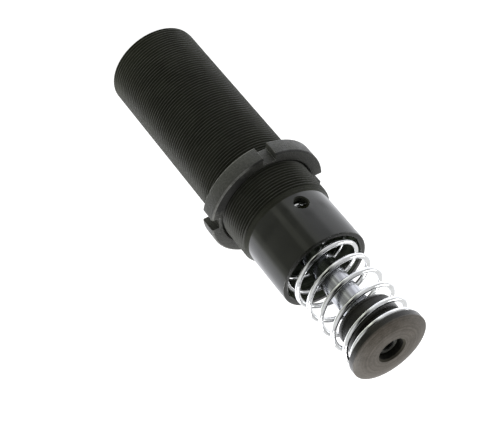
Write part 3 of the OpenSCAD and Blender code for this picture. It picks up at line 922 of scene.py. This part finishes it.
def ring_finish():
    """Matt phosphate with rubbed edges; its bevels are painted lighter as a highlight, the shaded side's
    front bevel is painted as a dark line of shade, and the body's shadow is painted on the front face.
    """
    material = finish("ring_phosphate", (0.020, 0.0205, 0.017), (0.063, 0.064, 0.055), 0.56, spread=0.16,
                      clouds=4, specks=0.8, speck_share=0.6, grit_depth=0.09, rub=1.0,
                      bare=(0.42, 0.42, 0.39), edge=0.28)
    tree, shader = nodes_of(material)
    r, z = axis_distance(tree)
    place = own_place(tree)
    patches = place_group(tree, MOTTLE, {"Cloud Size": 2.5 * MM})["Clouds"]
    rubbed, painted_bevel_shade = ring_bevel_highlight_and_shade(tree, r, z, place, patches)
    # The share named stain is a painted shadow of the body on the ring's front face
    stain = ring_painted_shadow(tree, r, z, place, patches)
    # Painted highlight on the bevels, and a painted dark line of shade on the shaded side's front bevel
    colour = mix_colour(tree, rubbed, fed(shader, "Base Color"), (0.20, 0.20, 0.185))
    colour = mix_colour(tree, painted_bevel_shade, colour, (0.008, 0.008, 0.006))
    # The painted shadow on the front face, which is also made rougher below
    colour = mix_colour(tree, reckon(tree, "MULTIPLY", stain, 0.85), colour, (0.003, 0.003, 0.002))
    feed(tree, shader, "Base Color", colour)
    roughen(tree, shader, stain, 0.3)
    return material


add_finishes(ring, ring_finish())


def plug_finish():
    """Zinc plate on turned steel."""
    return finish("plug_zinc", (0.42, 0.43, 0.45), (0.58, 0.58, 0.60), 0.28, metallic=1.0, lines=0.3,
                  line_depth=0.001, clouds=3, rub=0.5, bare=(0.7, 0.7, 0.72))


add_finishes(plug, plug_finish())


def screw_finish():
    """Dark oxide; the socket is painted black as shade and made rougher, and the land round it is painted
    lighter, as rubbed wear and as a highlight.
    """
    material = finish("screw_oxide", (0.006, 0.006, 0.005), (0.012, 0.012, 0.010), 0.45, rub=0.6,
                      bare=(0.3, 0.3, 0.28), edge=0.14, crest=0.4, crest_r=SCREW_R, specular=0.3)
    tree, shader = nodes_of(material)
    r, z = axis_distance(tree)
    # The land is painted lighter as wear and as a highlight; the socket is painted black as shade
    land = reckon(tree, "MULTIPLY", ramp(tree, z, SCREW_TOP_Z - 0.35, SCREW_TOP_Z - 0.1),
                  ramp(tree, r, 3.1, 3.3))
    socket = reckon(tree, "MULTIPLY", ramp(tree, z, SCREW_HEAD_Z + 1.5, SCREW_HEAD_Z + 2),
                    ramp(tree, r, 3.2, 3.05))
    colour = mix_colour(tree, reckon(tree, "MULTIPLY", land, 0.8), fed(shader, "Base Color"),
                        (0.055, 0.055, 0.047))
    feed(tree, shader, "Base Color", mix_colour(tree, socket, colour, (0.002, 0.002, 0.0015)))
    roughen(tree, shader, socket, 0.5)
    return material


add_finishes(screw, screw_finish())


def wire_finish():
    """Bright zinc on drawn wire, with lines along the wire."""
    material = finish("zinc_wire", (0.63, 0.64, 0.645), (0.80, 0.81, 0.815), 0.15, metallic=1.0, clouds=5)
    tree, shader = nodes_of(material)
    place = put(tree, "ShaderNodeAttribute", {}, attribute_name="on_wire").outputs["Vector"]
    across, along = 2600.0, 60.0
    drawn = noise(tree, stretch(tree, place, (across, across, along)), 1.0, 2.0)
    lines = step_up(tree, drawn, 0.3, 0.7)
    feed(tree, shader, "Roughness", reckon(tree, "MULTIPLY_ADD", lines, 0.06, 0.03))
    depth = reckon(tree, "MULTIPLY", lines, 0.012 * MM)
    bump = put(tree, "ShaderNodeBump", {"Height": depth, "Distance": 1.0})
    feed(tree, shader, "Normal", bump.outputs["Normal"])
    return material


add_finishes(spring, wire_finish())


def rod_finish():
    """Hard chrome with the faint streaks that seal and wiper leave along the stroke."""
    material = finish("rod_chrome", (0.41, 0.42, 0.445), (0.48, 0.49, 0.515), 0.10, metallic=1.0,
                      spread=0.02, lines=0.12, line_depth=0.0005, line_rough=0.03, clouds=12, brushed=0.9)
    tree, shader = nodes_of(material)
    across, along = 520.0, 12.0
    rubbed = noise(tree, stretch(tree, own_place(tree), (across, across, along)), 1.0, 3.0, 0.65)
    streaks = step_up(tree, rubbed, 0.38, 0.62, 0.0, 0.75)
    colour = mix_colour(tree, streaks, fed(shader, "Base Color"), (0.25, 0.255, 0.27))
    feed(tree, shader, "Base Color", colour)
    return material


def button_finish():
    """Brown-black oxide: satin and turned on the crown, darker and stained on the hub and in the recess."""
    material = finish("button_oxide", (0.072, 0.0615, 0.0475), (0.149, 0.130, 0.109), 0.40, lines=0.45,
                      line_depth=0.008, line_rough=0.10, clouds=4, specks=0.5, speck_share=0.5, rub=0.5,
                      bare=(0.16, 0.15, 0.14), grit_depth=0.012, edge=0.2, specular=0.3)
    tree, shader = nodes_of(material)
    r, z = axis_distance(tree)
    outside = ramp(tree, r, RECESS_R - 0.15, RECESS_R + 0.05)
    crown = reckon(tree, "MULTIPLY", outside, ramp(tree, z, BUTTON_REAR_Z + 2.4, BUTTON_REAR_Z + 3.6))
    recess_chamfer = ramp(tree, z, BUTTON_TOP_Z - 0.95, BUTTON_TOP_Z - 0.75)
    stains = place_group(tree, MOTTLE, {"Cloud Size": 5 * MM, "Speck Size": 0.9 * MM})
    stain = reckon(tree, "MULTIPLY_ADD", stains["Clouds"], 0.65,
                   reckon(tree, "MULTIPLY", stains["Specks"], 0.35))
    dark = mix_colour(tree, stain, (0.003, 0.003, 0.002), (0.020, 0.019, 0.014))
    dark = mix_colour(tree, recess_chamfer, dark, (0.048, 0.043, 0.031))
    rings = place_group(tree, LATHE_MARKS, {"Spacing": 0.8 * MM})["Lines"]
    turned = mix_colour(tree, reckon(tree, "MULTIPLY", rings, 0.45), fed(shader, "Base Color"),
                        (0.034, 0.028, 0.020))
    feed(tree, shader, "Base Color", mix_colour(tree, crown, dark, turned))
    roughen(tree, shader, reckon(tree, "SUBTRACT", 1.0, outside), 0.45)
    hub = reckon(tree, "SUBTRACT", outside, crown)
    roughen(tree, shader, hub, -0.16)
    return material


coat("piston_rod", rod_finish())
coat("rod_button", button_finish())

# CAD pieces with a plain finish

coat("screw_washer", finish(
    "washer_oxide", (0.06, 0.06, 0.06), (0.12, 0.12, 0.12), 0.35, metallic=0.8, rub=0.7,
    bare=(0.4, 0.4, 0.4)))
coat("rod_gland", finish(
    "gland_oxide", (0.040, 0.044, 0.020), (0.072, 0.078, 0.038), 0.34, lines=0.4, line_depth=0.002,
    line_rough=0.1, rub=0.5, bare=(0.12, 0.12, 0.06)))
coat("retaining_ring", finish(
    "clip_phosphate", (0.030, 0.028, 0.024), (0.06, 0.056, 0.05), 0.36, metallic=0.6, rub=0.7,
    bare=(0.35, 0.33, 0.28)))
coat("spring_seat", finish(
    "seat_olive", (0.10, 0.10, 0.045), (0.17, 0.17, 0.08), 0.34, metallic=0.7, lines=0.3, line_depth=0.001,
    clouds=4, rub=0.3, bare=(0.4, 0.4, 0.25)))
coat("rod_wiper", finish(
    "wiper_rubber", (0.012, 0.012, 0.012), (0.022, 0.022, 0.022), 0.50, specks=0.2, grit_depth=0.004,
    ior=1.45))
coat("rod_seal", finish(
    "seal_rubber", (0.05, 0.10, 0.16), (0.07, 0.13, 0.20), 0.42, specks=0.2, grit_depth=0.003, ior=1.45))
coat("gland_o_ring", finish(
    "o_ring_rubber", (0.010, 0.010, 0.010), (0.02, 0.02, 0.02), 0.38, specks=0.25, grit_depth=0.003,
    ior=1.45))
coat("fill_plug_seal", finish(
    "copper_washer", (0.55, 0.27, 0.16), (0.72, 0.40, 0.27), 0.3, metallic=1.0, clouds=3, lines=0.25,
    line_depth=0.001))
coat("guide_bush", finish(
    "bush_bronze", (0.38, 0.22, 0.09), (0.52, 0.32, 0.14), 0.30, metallic=1.0, lines=0.3, line_depth=0.0015,
    line_rough=0.08, clouds=5, rub=0.4, bare=(0.7, 0.5, 0.25)))
coat("pressure_tube", finish(
    "tube_steel", (0.36, 0.36, 0.37), (0.48, 0.48, 0.49), 0.25, metallic=1.0, lines=0.5, line_depth=0.0015,
    line_rough=0.1, clouds=15, rub=0.4, bare=(0.7, 0.7, 0.7)))
coat("foam_accumulator", finish(
    "foam_cells", (0.42, 0.36, 0.22), (0.62, 0.56, 0.38), 0.85, specks=0.7, speck_share=0.8,
    grit_depth=0.25, edge=0.5))
coat("piston", finish(
    "piston_iron", (0.20, 0.19, 0.18), (0.30, 0.29, 0.28), 0.34, metallic=1.0, lines=0.3, line_depth=0.002,
    line_rough=0.1, specks=0.3, grit_depth=0.004, rub=0.5, bare=(0.55, 0.55, 0.55)))
coat("piston_ring", finish(
    "ring_iron", (0.12, 0.12, 0.12), (0.20, 0.20, 0.20), 0.3, metallic=1.0, lines=0.2, line_depth=0.001,
    rub=0.6, bare=(0.5, 0.5, 0.5)))
coat("check_plate", finish(
    "turned_steel", (0.42, 0.42, 0.43), (0.55, 0.55, 0.56), 0.26, metallic=1.0, lines=0.35,
    line_depth=0.0015, line_rough=0.08, rub=0.5, bare=(0.7, 0.7, 0.7)))
coat("piston_nut", finish(
    "nut_zinc", (0.45, 0.45, 0.47), (0.60, 0.60, 0.62), 0.3, metallic=1.0, clouds=4, specks=0.4,
    grit_depth=0.002, rub=0.4, bare=(0.75, 0.75, 0.75)))


# Studio

# Camera, placed by matching the body's outline and thread in the photo
CAMERA_PLACE = (0.28730, -0.48775, 0.47563)
CAMERA_RIGHT = (-0.84473, -0.07717, 0.52950)
CAMERA_DOWN = (0.34260, 0.68207, 0.64600)
CAMERA_AHEAD = (-0.41103, 0.72713, -0.54980)
PHOTO_WIDTH_PX = 504
FOCAL_LENGTH_PX = 1531.3
SENSOR_WIDTH = 36

# Level directions from the object, towards the camera and to the camera's left
TOWARDS_CAMERA = (0.5075, -0.8616, 0.0)
TOWARDS_LEFT = (0.8616, 0.5075, 0.0)

# Bright cards on the floor: first and last bearing round the object in degrees, level, softness.
# A bearing is zero towards the camera and grows to the camera's left.
FLOOR_LEVEL = 0.25
FLOOR_CARDS = (
    (68, 300, 0.3, 6),
    (84, 300, 1.05, 7),
    (150, 300, -0.8, 10),
    (-6, 8, 0.28, 3),
    (-300, -23, 0.62, 4),
    (-300, -66, 0.55, 8),
    (-300, -150, -0.75, 10),
)
# Further cards in the band of floor that the rod mirrors, between two distances from the axis in metres
ROD_BAND = (0.238, 0.246, 0.280, 0.288)
ROD_CARDS = (
    (-300, 300, -0.14, 1),
    (-5, 6, 0.26, 2),
    (-43, -27, 0.5, 3),
    (-112, -94, -0.35, 4),
)
# The floor next to the object is brighter, out to a distance in metres
NEAR_EDGE = (0.085, 0.125)
NEAR_LEVEL = 0.9
# The floor's light is cool but for the warm bearings between the first and the last of these, in degrees
COOL = (0.97, 0.98, 1.03)
WARM = (1.0, 1.03, 0.87)
WARM_BEARINGS = tuple(math.radians(bearing) for bearing in (-50, -5, 65, 100))
# The floor's side in metres, and how far it lies under the rear face in millimetres
FLOOR_SIZE = 6
FLOOR_DROP = 0.2

# The room's brightness in reflections: overhead, behind the object, and on either side of the camera
OVERHEAD_LEVEL = 0.02
BEHIND_LEVEL = 0.95
LEFT_LEVEL = 0.85
RIGHT_LEVEL = 0.7
# The point that both lamps face
LAMPS_AIM = (0, 0, 0.1)


def set_up_camera():
    """The camera at the photo's place and angle."""
    clear_bench()
    bpy.ops.object.camera_add()
    camera = bpy.context.object
    camera.name = "photo_camera"
    axes = Matrix((CAMERA_RIGHT, -Vector(CAMERA_DOWN), -Vector(CAMERA_AHEAD))).transposed()
    camera.matrix_world = Matrix.Translation(CAMERA_PLACE) @ axes.to_quaternion().to_matrix().to_4x4()
    camera.data.sensor_width = SENSOR_WIDTH
    camera.data.lens = FOCAL_LENGTH_PX * SENSOR_WIDTH / PHOTO_WIDTH_PX
    camera.data.clip_start = 0.01
    bpy.context.scene.camera = camera
    bpy.context.scene.view_settings.view_transform = "Standard"


def add_cards(tree, lit, bearing, cards):
    """Adds cards to the brightness of the floor."""
    for start, stop, level, soft in cards:
        rise = step_up(tree, bearing, math.radians(start - soft), math.radians(start + soft))
        fall = step_up(tree, bearing, math.radians(stop - soft), math.radians(stop + soft), level, 0.0)
        lit = reckon(tree, "MULTIPLY_ADD", rise, fall, lit)
    return lit


def floor_glow(tree):
    """The floor's colour in reflections: its cards, the bright part next to the object, and the tint."""
    place = own_place(tree)
    bearing = reckon(tree, "ARCTAN2", reach(tree, place, TOWARDS_LEFT), reach(tree, place, TOWARDS_CAMERA))
    distance = put(tree, "ShaderNodeVectorMath", {0: place}, operation="LENGTH").outputs["Value"]
    band = reckon(tree, "MULTIPLY", step_up(tree, distance, *ROD_BAND[:2]),
                  step_up(tree, distance, *ROD_BAND[2:], 1.0, 0.0))
    lit = add_cards(tree, FLOOR_LEVEL, bearing, FLOOR_CARDS)
    lit = reckon(tree, "MULTIPLY_ADD", add_cards(tree, 0.0, bearing, ROD_CARDS), band, lit)
    lit = reckon(tree, "ADD", lit, step_up(tree, distance, *NEAR_EDGE, NEAR_LEVEL, 0.0))
    start, start_full, end_full, end = WARM_BEARINGS
    warm = reckon(tree, "MULTIPLY", step_up(tree, bearing, start, start_full),
                  step_up(tree, bearing, end, end_full))
    tint = mix_colour(tree, warm, COOL, WARM)
    return put(tree, "ShaderNodeVectorMath", {0: tint, "Scale": lit}, operation="SCALE").outputs["Vector"]


def white_to_camera(tree, glow):
    """White where the camera sees a surface directly, and its own glow in reflections."""
    seen = put(tree, "ShaderNodeLightPath", {}).outputs["Is Camera Ray"]
    return mix_colour(tree, seen, glow, (1.0, 1.0, 1.0))


def lay_floor():
    """A pale floor just under the rear face. Seen directly it is white; its cards show in reflections."""
    clear_bench()
    bpy.ops.mesh.primitive_plane_add(size=FLOOR_SIZE, location=(0, 0, -FLOOR_DROP * MM))
    floor = bpy.context.object
    floor.name = "studio_floor"
    paper = bpy.data.materials.new("floor_paper")
    paper.use_nodes = True
    tree, shader = nodes_of(paper)
    shader.inputs["Base Color"].default_value = (0.3, 0.3, 0.3, 1)
    shader.inputs["Roughness"].default_value = 0.9
    shader.inputs["Specular IOR Level"].default_value = 0.0
    shader.inputs["Emission Strength"].default_value = 1.0
    feed(tree, shader, "Emission Color", white_to_camera(tree, floor_glow(tree)))
    floor.data.materials.append(paper)


def light_room():
    """A room that is dark overhead, and pale behind and beside the object; seen directly it is white.

    How far a direction points to the camera, to its left and up, from -1 to 1, sets how bright it is.
    """
    world = bpy.data.worlds.new("soft_room")
    bpy.context.scene.world = world
    world.use_nodes = True
    tree = world.node_tree
    way = put(tree, "ShaderNodeTexCoord", {}).outputs["Generated"]
    ahead = reach(tree, way, TOWARDS_CAMERA)
    aside = reach(tree, way, TOWARDS_LEFT)
    up = put(tree, "ShaderNodeSeparateXYZ", {0: way}).outputs["Z"]
    behind = reckon(tree, "MULTIPLY", step_up(tree, ahead, -0.2, -0.8),
                    step_up(tree, up, 0.8, 0.5, 0.0, BEHIND_LEVEL))
    left = step_up(tree, aside, 0.15, 0.65, OVERHEAD_LEVEL, LEFT_LEVEL)
    right = step_up(tree, aside, -0.15, -0.65, OVERHEAD_LEVEL, RIGHT_LEVEL)
    lit = reckon(tree, "MAXIMUM", behind, reckon(tree, "MAXIMUM", left, right))
    grey = put(tree, "ShaderNodeCombineColor", {0: lit, 1: lit, 2: lit}).outputs[0]
    tree.links.new(white_to_camera(tree, grey), tree.nodes["Background"].inputs["Color"])


def softbox(name, place, aim, size, power):
    """A square area light that faces a point."""
    clear_bench()
    bpy.ops.object.light_add(type="AREA", location=place)
    lamp = bpy.context.object
    lamp.name = name
    lamp.data.size = size
    lamp.data.energy = power
    lamp.rotation_mode = "QUATERNION"
    lamp.rotation_quaternion = (Vector(aim) - Vector(place)).to_track_quat("-Z", "Y")


def around_object(ahead, aside, up):
    """A place given by distances in metres: towards the camera, to its left and up."""
    return Vector(TOWARDS_CAMERA) * ahead + Vector(TOWARDS_LEFT) * aside + Vector((0, 0, up))


set_up_camera()
lay_floor()
light_room()
softbox("left_box", around_object(-0.55, 0.65, 0.75), LAMPS_AIM, size=0.5, power=8)
softbox("right_box", around_object(-0.6, -0.6, 0.7), LAMPS_AIM, size=0.5, power=2)
